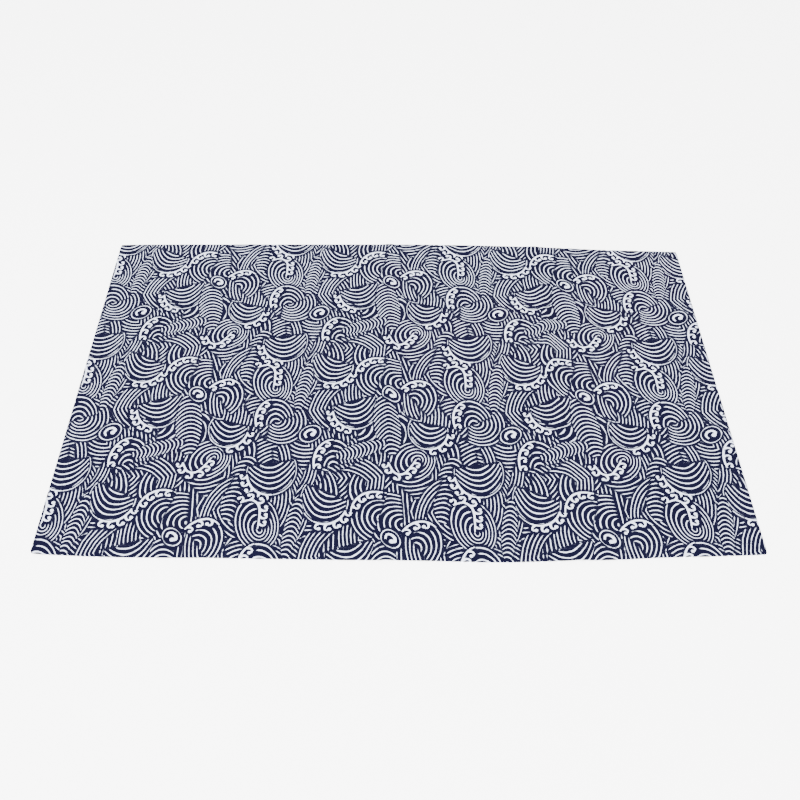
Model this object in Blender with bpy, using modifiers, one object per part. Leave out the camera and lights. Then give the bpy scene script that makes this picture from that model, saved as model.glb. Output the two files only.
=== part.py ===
"""A hemmed cotton napkin, laid out flat after it was stored folded in quarters.

Units are metres and +Z is up. +X runs along the long side and -Y is the front edge.
The origin is on the surface it lies on, under the middle of the cloth.
"""

from collections import namedtuple

import bmesh
import bpy
from mathutils import Vector

# Thickness of the cloth in the middle, and at the hem, where it is turned under
CLOTH_THICK = 0.0012
HEM_THICK = 0.0018
HEM_WIDE = 0.010
HEM_SLOPE = 0.006
EDGE_ROUND = 0.0005
RIM_ANGLE = 0.9

# The corners as the cloth lies, a little out of square, and how round each is turned
FRONT_LEFT = Vector((-0.2239, -0.1477))
FRONT_RIGHT = Vector((0.2261, -0.1485))
BACK_LEFT = Vector((-0.2272, 0.1535))
BACK_RIGHT = Vector((0.2272, 0.1443))
CORNER_RADIUS = 0.002

# How far a long edge lies outside the straight line between its corners
Bow = namedtuple("Bow", "share_across out")
FRONT_BOW = (
    Bow(0.00, 0.0000),
    Bow(0.05, 0.0014),
    Bow(0.12, 0.0026),
    Bow(0.25, 0.0030),
    Bow(0.40, 0.0042),
    Bow(0.52, 0.0046),
    Bow(0.64, 0.0059),
    Bow(0.72, 0.0047),
    Bow(0.80, 0.0038),
    Bow(0.86, 0.0021),
    Bow(0.93, 0.0013),
    Bow(1.00, 0.0000),
)
BACK_BOW = (
    Bow(0.00, 0.0000),
    Bow(0.05, 0.0009),
    Bow(0.30, 0.0033),
    Bow(0.50, 0.0051),
    Bow(0.58, 0.0054),
    Bow(0.68, 0.0048),
    Bow(0.79, 0.0033),
    Bow(0.86, 0.0015),
    Bow(0.93, 0.0006),
    Bow(1.00, 0.0000),
)

# Creases that stand up from the surface as soft ridges, front edge to back edge.
# share_across is measured from the left side and full_at from the front edge.
# front and back are the shares of the height that are left at those two edges.
Crease = namedtuple("Crease", "share_across height half_wide front full_at back")
CREASES = (
    Crease(0.235, 0.0009, 0.008, 0.30, 0.45, 0.30),
    Crease(0.485, 0.0023, 0.008, 0.35, 0.40, 0.30),
    Crease(0.745, 0.0036, 0.012, 0.25, 0.68, 0.22),
)

# Spacing of the mesh on the flat panels, and the number of steps up each ridge
PANEL_STEP_X = 0.016
PANEL_STEP_Y = 0.020
RIDGE_STEPS = 4
SAME_PLACE = 0.0006

COTTON_COLOUR = (0.045, 0.052, 0.125, 1.0)
COTTON_ROUGHNESS = 0.9


def clear_scene():
    for old in list(bpy.data.objects):
        bpy.data.objects.remove(old)


def ease(share):
    """0 to 1 with a level start and end."""
    share = min(max(share, 0.0), 1.0)
    return share * share * (3.0 - 2.0 * share)


def bow_at(table, share):
    """A smooth curve through the rows of a table of bows."""
    last = len(table) - 1
    row = next((i for i in range(last) if share <= table[i + 1].share_across), last - 1)

    def slope(i):
        before, after = table[max(i - 1, 0)], table[min(i + 1, last)]
        return (after.out - before.out) / (after.share_across - before.share_across)

    start, end = table[row], table[row + 1]
    run = end.share_across - start.share_across
    t = (share - start.share_across) / run
    return (
        (2 * t**3 - 3 * t**2 + 1) * start.out
        + (t**3 - 2 * t**2 + t) * run * slope(row)
        + (3 * t**2 - 2 * t**3) * end.out
        + (t**3 - t**2) * run * slope(row + 1)
    )


def plan_point(across, depth):
    """The place on the surface of a share across from the left and a share back from the front."""
    front = FRONT_LEFT.lerp(FRONT_RIGHT, across)
    back = BACK_LEFT.lerp(BACK_RIGHT, across)
    front.y -= bow_at(FRONT_BOW, across)
    back.y += bow_at(BACK_BOW, across)
    return front.lerp(back, depth)


def side_lengths():
    """The width at half depth and the depth at half width."""
    wide = (plan_point(1.0, 0.5) - plan_point(0.0, 0.5)).length
    deep = (plan_point(0.5, 1.0) - plan_point(0.5, 0.0)).length
    return wide, deep


def crease_lift(crease, offset, depth):
    """How high a crease holds the cloth at an offset in metres to its side."""
    t = min(abs(offset) / crease.half_wide, 1.0)
    if depth < crease.full_at:
        along = crease.front + (1.0 - crease.front) * ease(depth / crease.full_at)
    else:
        left = (1.0 - depth) / (1.0 - crease.full_at)
        along = crease.back + (1.0 - crease.back) * ease(left)
    return crease.height * along * (1.0 - t * t) ** 2


def stations(length, step, ridges):
    """Distances along a side for the rows of the mesh: close at the hems and on the ridges."""
    edge = (0.0, CORNER_RADIUS / 2, CORNER_RADIUS, HEM_WIDE - 0.001, HEM_WIDE + HEM_SLOPE)
    marks = list(edge) + [length - distance for distance in edge]
    for centre, half_wide in ridges:
        fine = half_wide / RIDGE_STEPS
        marks += [centre + fine * i for i in range(-RIDGE_STEPS, RIDGE_STEPS + 1)]
    marks.sort()
    places = [marks[0]]
    for mark in marks[1:]:
        gap = mark - places[-1]
        if gap < SAME_PLACE:
            continue
        pieces = max(1, round(gap / step))
        start = places[-1]
        places += [start + gap * (i + 1) / pieces for i in range(pieces)]
    return places


def round_corner(inward_x, inward_y):
    """Pulls a point near a corner onto an arc; both distances are measured in from the sides."""
    radius = CORNER_RADIUS
    if inward_x >= radius or inward_y >= radius:
        return inward_x, inward_y
    p = 1.0 - inward_x / radius
    q = 1.0 - inward_y / radius
    return (
        radius * (1.0 - p * (1.0 - q * q / 2.0) ** 0.5),
        radius * (1.0 - q * (1.0 - p * p / 2.0) ** 0.5),
    )


def keep_in(distance, length):
    """The distance in from the nearer end of a side, and whether that is the far end."""
    return (length - distance, True) if distance > length / 2 else (distance, False)


def cloth_material():
    material = bpy.data.materials.new("printed_cotton")
    material.use_nodes = True
    shader = material.node_tree.nodes["Principled BSDF"]
    shader.inputs["Base Color"].default_value = COTTON_COLOUR
    shader.inputs["Roughness"].default_value = COTTON_ROUGHNESS
    shader.inputs["Metallic"].default_value = 0.0
    material.diffuse_color = COTTON_COLOUR
    return material


def cloth_sheet():
    """The underside of the cloth as a grid, and how much of a hem each of its points is."""
    wide, deep = side_lengths()
    ridges = [(crease.share_across * wide, crease.half_wide) for crease in CREASES]
    columns = stations(wide, PANEL_STEP_X, ridges)
    rows = stations(deep, PANEL_STEP_Y, [])
    grid = bmesh.new()
    last_column, last_row = len(columns) - 1, len(rows) - 1
    bmesh.ops.create_grid(grid, x_segments=last_column, y_segments=last_row, size=0.5)
    hem_share = []
    for point in grid.verts:
        x = columns[round((point.co.x + 0.5) * last_column)]
        y = rows[round((point.co.y + 0.5) * last_row)]
        in_x, from_right = keep_in(x, wide)
        in_y, from_back = keep_in(y, deep)
        hem_share.append(1.0 - ease((min(in_x, in_y) - HEM_WIDE) / HEM_SLOPE))
        in_x, in_y = round_corner(in_x, in_y)
        x = wide - in_x if from_right else in_x
        y = deep - in_y if from_back else in_y
        flat = plan_point(x / wide, y / deep)
        lift = max(
            crease_lift(crease, x - centre, y / deep)
            for crease, (centre, _) in zip(CREASES, ridges)
        )
        point.co = (flat.x, flat.y, lift)
    mesh = bpy.data.meshes.new("napkin_cloth")
    grid.to_mesh(mesh)
    grid.free()
    return mesh, hem_share


def centre_on_origin(mesh):
    """Moves the sheet in plan so that the origin is under the middle of its box."""
    xs = [point.co.x for point in mesh.vertices]
    ys = [point.co.y for point in mesh.vertices]
    middle = Vector(((max(xs) + min(xs)) / 2, (max(ys) + min(ys)) / 2, 0.0))
    for point in mesh.vertices:
        point.co -= middle


def make_napkin():
    mesh, hem_share = cloth_sheet()
    centre_on_origin(mesh)
    mesh.materials.append(cloth_material())
    napkin = bpy.data.objects.new("napkin_cloth", mesh)
    collection = bpy.data.collections.new("cloth_napkin")
    bpy.context.scene.collection.children.link(collection)
    collection.objects.link(napkin)

    hem = napkin.vertex_groups.new(name="hem")
    for index, share in enumerate(hem_share):
        hem.add([index], share, "REPLACE")
    shell = napkin.modifiers.new("cloth thickness", "SOLIDIFY")
    shell.thickness = HEM_THICK
    shell.offset = 1.0
    shell.vertex_group = hem.name
    shell.thickness_vertex_group = CLOTH_THICK / HEM_THICK

    edges = napkin.modifiers.new("turned edge", "BEVEL")
    edges.width = EDGE_ROUND
    edges.segments = 2
    edges.limit_method = "ANGLE"
    edges.angle_limit = RIM_ANGLE
    mesh.shade_smooth()


clear_scene()
make_napkin()
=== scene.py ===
"""A printed cotton napkin lying flat, as a small Blender add-on that also runs as a script.

The cloth is one closed sheet laid over its CAD solid. Its print is an ordinary rough-sea
pattern: shells of curved lines that overlap like roof tiles, with foam along some of the
crests. The chart of one repeat is worked out here in millimetres and repeated over the
cloth, and the shader draws the lines from each shell's own measurements.
"""

import math
import random
from collections import namedtuple
from functools import partialmethod

import bpy
import numpy as np
from bpy.props import FloatProperty, FloatVectorProperty, IntProperty, PointerProperty
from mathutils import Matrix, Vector
from mathutils import geometry
from mathutils.bvhtree import BVHTree


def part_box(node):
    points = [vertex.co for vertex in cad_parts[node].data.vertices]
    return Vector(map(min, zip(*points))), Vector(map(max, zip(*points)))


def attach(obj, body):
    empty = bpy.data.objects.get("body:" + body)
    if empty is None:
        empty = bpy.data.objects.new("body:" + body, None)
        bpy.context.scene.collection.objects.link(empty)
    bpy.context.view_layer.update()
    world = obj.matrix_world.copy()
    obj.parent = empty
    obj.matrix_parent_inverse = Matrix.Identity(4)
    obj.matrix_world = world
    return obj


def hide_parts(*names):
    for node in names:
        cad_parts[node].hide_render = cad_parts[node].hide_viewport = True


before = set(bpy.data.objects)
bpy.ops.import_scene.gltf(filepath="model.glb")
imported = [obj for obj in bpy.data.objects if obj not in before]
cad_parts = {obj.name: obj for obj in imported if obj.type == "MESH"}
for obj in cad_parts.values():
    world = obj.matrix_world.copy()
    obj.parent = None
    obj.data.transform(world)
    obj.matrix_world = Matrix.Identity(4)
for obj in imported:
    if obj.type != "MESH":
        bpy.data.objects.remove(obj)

bl_info = {
    "name": "Printed Napkin",
    "version": (1, 0, 0),
    "blender": (4, 5, 0),
    "location": "3D View > Sidebar > Napkin",
    "description": "Adds a hemmed cotton napkin with a wave print, its stitching and a plain stage",
    "category": "Add Mesh",
}

MM = 0.001
SOLID = "napkin_cloth"
CLOTH = "printed_cloth"
STITCHES = "hem_stitches"

# Creases from front to back, as on the solid: distances are shares of the cloth's sides,
# and front and back are what is left of the height at those two edges.
Crease = namedtuple("Crease", "share_across height half_wide front full_at back")
CREASES = (
    Crease(0.235, 0.9, 8.0, 0.30, 0.45, 0.30),
    Crease(0.485, 2.3, 8.0, 0.35, 0.40, 0.30),
    Crease(0.745, 3.6, 12.0, 0.25, 0.68, 0.22),
)

# Slow unevenness of the cloth between its hems: wavelengths and start in millimetres
Swell = namedtuple("Swell", "height across along start")
SWELLS = (
    Swell(0.050, 83.0, 61.0, 10.0),
    Swell(0.040, -47.0, 58.0, 31.0),
    Swell(0.025, 29.0, 37.0, 5.0),
)

# One repeat of the print, in millimetres. The chart below is drawn wider and lower, with
# PITCH between two lines, and then stretched, so that its shapes stand tall.
REPEAT = (136.0, 122.0)
STRETCH = np.array([0.87, 1.16])
PITCH = 2.8

# A shell is outlined by an arc of an ellipse from start to end, closed by a shallow arc
Shell = namedtuple("Shell", "x y long wide turn start end sag")

# Its lines are counted inwards, by distance from a point in shares of two radii. gather
# moves that point off centre, and kink folds the lines at the long axis, or hangs equal
# arcs below each other where it is negative.
Lines = namedtuple("Lines", "x y turn long wide gather kink count begin")

# cut is the outline point where the closing arc starts. share multiplies the white of
# the lines, and is the white itself in a patch that has none.
Patch = namedtuple("Patch", "outline lines cut share")

# The motifs that are set in the repeat, lowest first. first and last are where the
# foam starts and ends on the rim of a bowl or a crest, in degrees. In a flow last is half
# its spread, and in a roll the sign of last is the way it curls.
Motif = namedtuple("Motif", "kind x y size turn first last")
MOTIFS = (
    Motif("flow", 57, 79, 32, 340, 0, 42),
    Motif("arches", 7, 72, 24, 75, 0, 0),
    Motif("bowl", 30, 84, 20, 8, -178, -90),
    Motif("crest", 76, 90, 19, 100, 95, -10),
    Motif("fold", 108, 79, 42, 20, 0, 0),
    Motif("roll", 136, 91, 19, 20, 0, 1),
    Motif("bowl", 71, 64, 19, -20, -5, -95),
    Motif("crest", 110, 53, 21, 160, -85, 15),
    Motif("flow", 147, 62, 34, 150, 0, 40),
    Motif("roll", 23, 48, 20, -60, 0, -1),
    Motif("column", 49, 45, 21, 80, 0, 0),
    Motif("bowl", 92, 28, 20, 15, -185, -105),
    Motif("crest", 140, 34, 19, 40, 100, 5),
    Motif("fold", 62, 26, 42, 190, 0, 0),
    Motif("crest", 28, 17, 19, 110, 90, -5),
    Motif("arches", 117, 14, 24, 100, 0, 0),
    Motif("eye", 57, 7, 10, 20, 0, 0),
    Motif("eye", 120, 38, 9, -30, 0, 0),
    Motif("bowl", 149, 10, 17, -10, 0, -90),
    Motif("column", 97, 100, 20, 15, 0, 0),
)

# What the foam runs through in a roll and in an eye, in shares of its size, then the radius
# of an eye's knob in millimetres, and of its dark bed as a share of its size
ROLL_FOAM = ((-0.92, 0.25), (-0.80, -0.15), (-0.45, -0.30), (-0.05, -0.12), (0.20, 0.05))
EYE_CURL = (
    (-0.36, -0.20), (-0.42, 0.08), (-0.16, 0.27), (0.20, 0.25), (0.38, 0.02), (0.16, -0.12),
)
EYE_KNOB = 1.55
EYE_BED = 0.55

# Foam: half the width of the stem, and how much wider its dark bed is on each side
STEM_HALF = 0.62
STEM_BED = 0.7

# The claws of the foam: the distance between their tips and how far these stand out, the
# guides and half widths of one, the radius of its knob, and its round bed
CLAW_STEP = 6.2
CLAW_TIP_OUT = 3.2
CLAW_GUIDES = ((0.2, 0.3), (2.1, 1.9), (1.6, 5.3), (-1.2, 3.5))
CLAW_HALF = (0.8, 0.62, 0.54, 0.5, 0.5, 0.5)
CLAW_KNOB = 1.05
CLAW_BED = 3.6
CLAW_BED_OUT = 2.5

# Shares of white in a patch without lines: a bed has none, and foam is white all over
BARE = 0.0
WHITE = 1.3

# Distances between the points of a shell's arc, of its closing arc and of a fold's rim
ARC_STEP = 1.8
CUT_STEP = 2.2
FOLD_STEP = 1.6

# A ringed shell has this many lines for each pitch of its shorter radius
RING_SHARE = 1.08

# Cloth that no shell covers has arcs of this radius, counted from this distance
OPEN_RADIUS = 400.0
OPEN_BEGIN = 900.0

# Over this distance the lines thin out where they meet a higher patch
TAPER = 2.2

# Points of the printed face: their distance, the room left at the rim, and the rows that
# bend with the hems, measured inwards from the turn lines
MESH_STEP = 4.0
RIM_ROOM = 0.4
HEM_ROWS = (2.5, 8.0, 9.6, 11.2, 12.8, 14.4, 16.5)

# Rows of points of the reverse along its rim, and its other distances between points
REVERSE_ROWS = (1.5, 3.5, 6.0)
REVERSE_ROW_STEP = 5.0
REVERSE_CREASE_STEP = 6.0
REVERSE_STEP = 8.0

# Points of either face that lie closer than this become one
MERGE = 0.02

# Near its corners the cloth is squeezed along its sides where it is turned under
SQUEEZE = 24.0

# A crease is a soft ridge with a narrower one in it: their shares of its height, and how
# wide the narrower one is
SOFT_SHARE = 0.66
PEAK_SHARE = 0.34
PEAK_WIDE = 0.42

# The seam has a point for each of these steps, and its threads lie this share of their
# radius above the cloth
SEAM_STEP = 3.0
THREAD_RISE = 0.35

# The solid's edges are read at this height. A corner is where they would meet unrounded,
# and each is read at two distances from it, in metres.
READ_HEIGHT = 0.0013
READ_ALONG_FRONT = (0.010, 0.018)
READ_ALONG_SIDE = (0.030, 0.200)


def turned(points, degrees):
    """Points turned about the origin."""
    c = math.cos(math.radians(degrees))
    s = math.sin(math.radians(degrees))
    x, y = points[..., 0], points[..., 1]
    return np.stack([x * c - y * s, x * s + y * c], -1)


def ease(share):
    """0 to 1 with a level start and end, for arrays."""
    share = np.clip(share, 0.0, 1.0)
    return share * share * (3.0 - 2.0 * share)


def inside(outline, points):
    """Which points lie inside a closed outline."""
    x, y = points[:, 0:1], points[:, 1:2]
    ax, ay = outline[:, 0], outline[:, 1]
    bx, by = np.roll(ax, -1), np.roll(ay, -1)
    spans = (ay > y) != (by > y)
    run = by - ay
    run = np.where(np.abs(run) < 1e-9, 1e-9, run)
    crossed = spans & (x < ax + (y - ay) / run * (bx - ax))
    return crossed.sum(1) % 2 == 1


class Lie:
    """Where the points of the cloth lie, in millimetres, from the outline of its solid.

    Places on the cloth are measured from the two lines along which its front and left hems
    turn over. Beyond a turn line the cloth runs round the edge and back under its hem.
    """

    def __init__(self, cloth):
        self.layer = cloth.layer / MM
        self.hem = cloth.hem_wide / MM
        self.slope = cloth.hem_slope / MM
        self.low = cloth.rest_gap / MM
        self.hem_top = cloth.hem_top / MM
        self.panel_top = cloth.panel_top / MM
        self.fold = cloth.fold_round / MM
        self.corner = cloth.corner_round / MM
        self.round = (self.hem_top - self.low) / 2
        self.read_outline()
        self.wide = np.hypot(*(self.plan(1.0, 0.5) - self.plan(0.0, 0.5)))
        self.deep = np.hypot(*(self.plan(0.5, 1.0) - self.plan(0.5, 0.0)))
        self.across = self.wide - 2 * self.round
        self.along = self.deep - 2 * self.round
        self.near, self.far = np.zeros(2), np.array([self.across, self.along])
        half_turn = math.pi * self.round
        bend = self.fold * math.pi / 2
        rise = self.hem_top - self.layer - self.low - self.fold
        self.flat_end = half_turn + self.hem - self.round - self.fold
        self.bend_end = self.flat_end + bend
        self.reach = self.bend_end + rise
        self.marks = [half_turn * i / 6 for i in range(7)]
        self.marks += [self.flat_end, self.flat_end + bend / 2, self.bend_end]

    def read_outline(self):
        """Reads the edges of the solid with level rays from outside."""
        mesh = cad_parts[SOLID].data
        tree = BVHTree.FromPolygons(
            [v.co.copy() for v in mesh.vertices],
            [tuple(p.vertices) for p in mesh.polygons],
        )
        low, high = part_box(SOLID)

        def edge_x(y, way):
            start = Vector((-way, y, READ_HEIGHT))
            return tree.ray_cast(start, Vector((way, 0, 0)))[0].x / MM

        def edge_y(x, way):
            start = Vector((x, -way, READ_HEIGHT))
            return tree.ray_cast(start, Vector((0, way, 0)))[0].y / MM

        def corner(side, end):
            near_x, near_y = (low.x, high.x)[side], (low.y, high.y)[end]
            in_x, in_y = (1, -1)[side], (1, -1)[end]
            x1, x2 = (near_x + in_x * step for step in READ_ALONG_FRONT)
            y1, y2 = edge_y(x1, in_y), edge_y(x2, in_y)
            y = y1 + (y1 - y2) * (x1 / MM - near_x / MM) / ((x2 - x1) / MM)
            z1, z2 = (near_y + in_y * step for step in READ_ALONG_SIDE)
            w1, w2 = edge_x(z1, in_x), edge_x(z2, in_x)
            x = w1 + (w2 - w1) * (y - z1 / MM) / ((z2 - z1) / MM)
            return np.array([x, y])

        self.shares = np.linspace(0.0, 1.0, 61)
        self.edges = []
        for end, way in ((0, 1), (1, -1)):
            left, right = corner(0, end), corner(1, end)
            xs = left[0] + (right[0] - left[0]) * self.shares
            ys = [left[1]] + [edge_y(x * MM, way) for x in xs[1:-1]] + [right[1]]
            self.edges.append((left[0], right[0], np.array(ys)))

    def plan(self, u, v):
        """The plan place of shares across and along the cloth."""
        u, v = np.broadcast_arrays(np.asarray(u, float), np.asarray(v, float))
        rows = []
        for left, right, ys in self.edges:
            rows.append(np.stack([left + (right - left) * u, np.interp(u, self.shares, ys)], -1))
        return rows[0] + (rows[1] - rows[0]) * v[..., None]

    def lift(self, x, y):
        """How high the creases hold the cloth."""
        depth = y / self.deep
        best = np.zeros_like(x)
        for crease in CREASES:
            t = np.minimum(np.abs(x - crease.share_across * self.wide) / crease.half_wide, 1.0)
            before = crease.front + (1 - crease.front) * ease(depth / crease.full_at)
            beyond = (1 - depth) / (1 - crease.full_at)
            after = crease.back + (1 - crease.back) * ease(beyond)
            share = np.where(depth < crease.full_at, before, after)
            soft = (1 - t * t) ** 2
            sharp = (1 - np.minimum(t / PEAK_WIDE, 1.0) ** 2) ** 2
            ridge = SOFT_SHARE * soft + PEAK_SHARE * sharp
            best = np.maximum(best, crease.height * share * ridge)
        return best

    def top(self, x, y):
        """The height of the printed face over a place in plan, hems included."""
        inward = np.minimum(np.minimum(x, self.wide - x), np.minimum(y, self.deep - y))
        hemmed = 1.0 - ease((inward - self.hem + 0.5) / self.slope)
        swell = np.zeros_like(x)
        for row in SWELLS:
            wave = 2 * math.pi * (x / row.across + (y + row.start) / row.along)
            swell += row.height * (1 + np.sin(wave))
        level = self.panel_top - 2 * sum(row.height for row in SWELLS) + swell
        return level * (1 - hemmed) + self.hem_top * hemmed + self.lift(x, y)

    def place(self, a, b):
        """The 3-D places of points of the printed face, in millimetres."""
        r = self.round
        out_a = np.maximum(-a, a - self.across)
        out_b = np.maximum(-b, b - self.along)
        out = np.maximum(np.maximum(out_a, out_b), 0.0)
        turn = np.minimum(out / r, math.pi)
        bend = np.clip((out - self.flat_end) / self.fold, 0.0, math.pi / 2)
        under = np.clip(out - math.pi * r, 0, self.flat_end - math.pi * r)
        inset = r - r * np.sin(turn) + under + self.fold * np.sin(bend)
        rise = self.fold * (1 - np.cos(bend)) + np.maximum(out - self.bend_end, 0.0)

        def along_side(t, length):
            near = np.minimum(t, length - t)
            shrink = (SQUEEZE + r - inset) / (SQUEEZE + out)
            moved = np.where(near < SQUEEZE, inset + (near + out) * shrink, near + r)
            full = length + 2 * r
            return np.where(t > length / 2, full - moved, moved)

        def over_side(t, full, length):
            return np.where(t > length / 2, full - inset, inset)

        over_a = (out > 0) & (out_a >= out_b)
        over_b = (out > 0) & ~over_a
        x = np.where(over_a, over_side(a, self.wide, self.across), along_side(a, self.across))
        y = np.where(over_b, over_side(b, self.deep, self.along), along_side(b, self.along))
        x = np.where(out > 0, x, a + r)
        y = np.where(out > 0, y, b + r)
        edge_height = self.low + r + r * np.cos(turn) + rise
        height = np.where(out > 0, edge_height + self.lift(x, y), self.top(x, y))
        return self.settle(x, y, height)

    def settle(self, x, y, height):
        """Rounds the corners and brings plan distances to the outline of the solid."""
        radius = self.corner
        in_x, in_y = np.minimum(x, self.wide - x), np.minimum(y, self.deep - y)
        p = np.clip(1 - in_x / radius, 0, 1)
        q = np.clip(1 - in_y / radius, 0, 1)
        near_x = np.where((p > 0) & (q > 0), radius * (1 - p * np.sqrt(1 - q * q / 2)), in_x)
        near_y = np.where((p > 0) & (q > 0), radius * (1 - q * np.sqrt(1 - p * p / 2)), in_y)
        x = np.where(x > self.wide / 2, self.wide - near_x, near_x)
        y = np.where(y > self.deep / 2, self.deep - near_y, near_y)
        plan = self.plan(x / self.wide, y / self.deep)
        return np.concatenate([plan, height[..., None]], -1)

    def reverse(self, x, y):
        """The 3-D places of points of the reverse, from distances in plan."""
        return self.settle(x, y, self.top(x, y) - self.layer)


def normals_of(place, a, b):
    """Normals of a surface given by a function of two arrays."""
    step = 0.03
    da = place(a + step, b) - place(a - step, b)
    db = place(a, b + step) - place(a, b - step)
    n = np.cross(da, db)
    return n / np.maximum(np.linalg.norm(n, axis=-1, keepdims=True), 1e-12)


def is_whole(shell):
    """Whether a shell's arc goes all the way round."""
    return shell.end - shell.start >= 359


def arc_steps(shell):
    """The number of points along a shell's arc."""
    turn = math.radians(shell.end - shell.start)
    return max(8, round(turn * (shell.long + shell.wide) / 2 / ARC_STEP))


def shell_outline(shell):
    """The arc of a shell, then the shallow arc that closes it."""
    angles = np.radians(np.linspace(shell.start, shell.end, arc_steps(shell)))
    arc = np.stack([shell.long * np.cos(angles), shell.wide * np.sin(angles)], -1)
    if is_whole(shell):
        line = arc[:-1]
    else:
        chord = arc[0] - arc[-1]
        length = np.hypot(*chord)
        share = np.linspace(0, 1, max(4, round(length / CUT_STEP)))[1:-1, None]
        aside = np.array([-chord[1], chord[0]]) / length
        if aside @ (arc[len(arc) // 2] - (arc[0] + arc[-1]) / 2) < 0:
            aside = -aside
        bulge = aside * (4 * share * (1 - share) * shell.sag)
        line = np.concatenate([arc, arc[-1] + chord * share + bulge])
    return turned(line, shell.turn) + [shell.x, shell.y]


def cut_start(shell):
    """The outline point where a shell's closing arc starts, or 0."""
    return 0 if is_whole(shell) else arc_steps(shell) - 1


def ringed(shell, gather, pitch):
    """A shell with rings that follow its rim."""
    count = min(shell.long, shell.wide) * RING_SHARE / pitch
    lines = Lines(
        shell.x, shell.y, shell.turn, shell.long, shell.wide, gather, 0.0, count, count
    )
    return Patch(shell_outline(shell), lines, cut_start(shell), 1.0)


def hung(shell, towards, bend, pitch):
    """A shell with equal arcs hung below each other; towards is the way they sag."""
    size = max(shell.long, shell.wide)
    count = size / pitch
    lines = Lines(
        shell.x, shell.y, shell.turn + towards, size, size, 0.0, -bend, count, count + 0.25
    )
    return Patch(shell_outline(shell), lines, cut_start(shell), 1.0)


def folded(x, y, turn, inner, outer, half, kink):
    """A bundle with a fold in it, between two of its own lines."""
    ys = np.linspace(-half, half, round(half * 2 / FOLD_STEP) | 1)
    far = np.sqrt(np.maximum(outer**2 - (np.abs(ys) + kink) ** 2, 1.0))
    near = np.sqrt(np.maximum(inner**2 - (np.abs(ys) * 0.9 + kink) ** 2, 1.0))
    rim, hollow = np.stack([far, ys], -1), np.stack([near, ys * 0.9], -1)[::-1]
    share = np.linspace(0, 1, max(3, round((outer - inner) / CUT_STEP)))[1:-1, None]
    back = rim[-1] + (hollow[0] - rim[-1]) * share
    forth = hollow[-1] + (rim[0] - hollow[-1]) * share
    line = np.concatenate([rim, back, hollow, forth])
    count = outer / PITCH
    lines = Lines(x, y, turn, outer, outer, 0.0, kink / outer, count, count)
    return Patch(turned(line, turn) + [x, y], lines, len(ys) - 1, 1.0)


def behind(x, y, turn, distance):
    """The place a distance behind another, seen along a direction."""
    return (
        x - distance * math.cos(math.radians(turn)),
        y - distance * math.sin(math.radians(turn)),
    )


def seeded_patches(seed):
    """The shells under the motifs, one in each cell of the repeat, in a shuffled order."""
    chance = random.Random(seed)
    columns, rows = 6, 5
    cells = [(i, j) for i in range(columns) for j in range(rows)]
    chance.shuffle(cells)
    patches = []
    for i, j in cells:
        x = (i + chance.uniform(0.2, 0.8)) * REPEAT[0] / STRETCH[0] / columns
        y = (j + chance.uniform(0.2, 0.8)) * REPEAT[1] / STRETCH[1] / rows
        pitch = chance.uniform(0.84, 1.2) * PITCH
        kind = chance.choice(("flow", "flow", "crescent", "crescent", "fold"))
        turn = chance.choice((0, 180)) + chance.uniform(-60, 60)
        if kind == "flow":
            radius = chance.uniform(30, 42)
            half = chance.uniform(42, 58)
            middle = behind(x, y, turn, radius * 0.66)
            sag = chance.uniform(-6, 0)
            shell = Shell(*middle, radius, radius, turn, -half, half, sag)
            patches.append(ringed(shell, chance.uniform(-0.12, 0.12), pitch))
        elif kind == "crescent":
            long = chance.uniform(20, 27)
            wide = long * chance.uniform(0.7, 0.9)
            start, end = -chance.uniform(85, 110), chance.uniform(85, 110)
            shell = Shell(x, y, long, wide, turn, start, end, chance.uniform(-4, 4))
            patches.append(ringed(shell, -chance.uniform(0.15, 0.4), pitch))
        else:
            outer = chance.uniform(38, 46)
            middle = behind(x, y, turn, outer * 0.62)
            patches.append(folded(*middle, turn, outer - 25, outer, 19, 13))
    return patches


def smooth_line(points, steps):
    """A curve through points, as places along it."""
    points = np.array(points, float)
    ends = 2 * points[0] - points[1], 2 * points[-1] - points[-2]
    guides = np.concatenate([[ends[0]], points, [ends[1]]])
    places = []
    for before, start, end, after in zip(guides, guides[1:], guides[2:], guides[3:]):
        for t in np.linspace(0, 1, steps, endpoint=False):
            bend = 2 * before - 5 * start + 4 * end - after
            twist = 3 * start - before - 3 * end + after
            places.append(start + 0.5 * ((end - before) * t + bend * t * t + twist * t**3))
    places.append(points[-1])
    return np.array(places)


def headings(line):
    """The direction of a line at each of its points, and the way to its left."""
    ahead = np.gradient(line, axis=0)
    ahead /= np.hypot(*ahead.T)[:, None]
    return ahead, np.stack([-ahead[:, 1], ahead[:, 0]], -1)


def ribbon(line, half):
    """A closed outline at a distance on both sides of a line."""
    left = headings(line)[1] * np.broadcast_to(half, len(line))[:, None]
    return np.concatenate([line - left, (line + left)[::-1]])


def knob(middle, radius, sides):
    """A round outline."""
    angles = np.linspace(0, 2 * math.pi, sides, endpoint=False)
    return middle + radius * np.stack([np.cos(angles), np.sin(angles)], -1)


def rim_line(shell, first, last):
    """The first line inside a shell's rim, between two angles."""
    angles = np.radians(np.linspace(first, last, max(5, round(abs(last - first) / 9))))
    inset = 0.5 * PITCH
    long, wide = shell.long - inset, shell.wide - inset
    line = np.stack([long * np.cos(angles), wide * np.sin(angles)], -1)
    return turned(line, shell.turn) + [shell.x, shell.y]


def plain(outlines, share):
    """Patches without lines of their own."""
    return [Patch(outline, None, 0, share) for outline in outlines]


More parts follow.
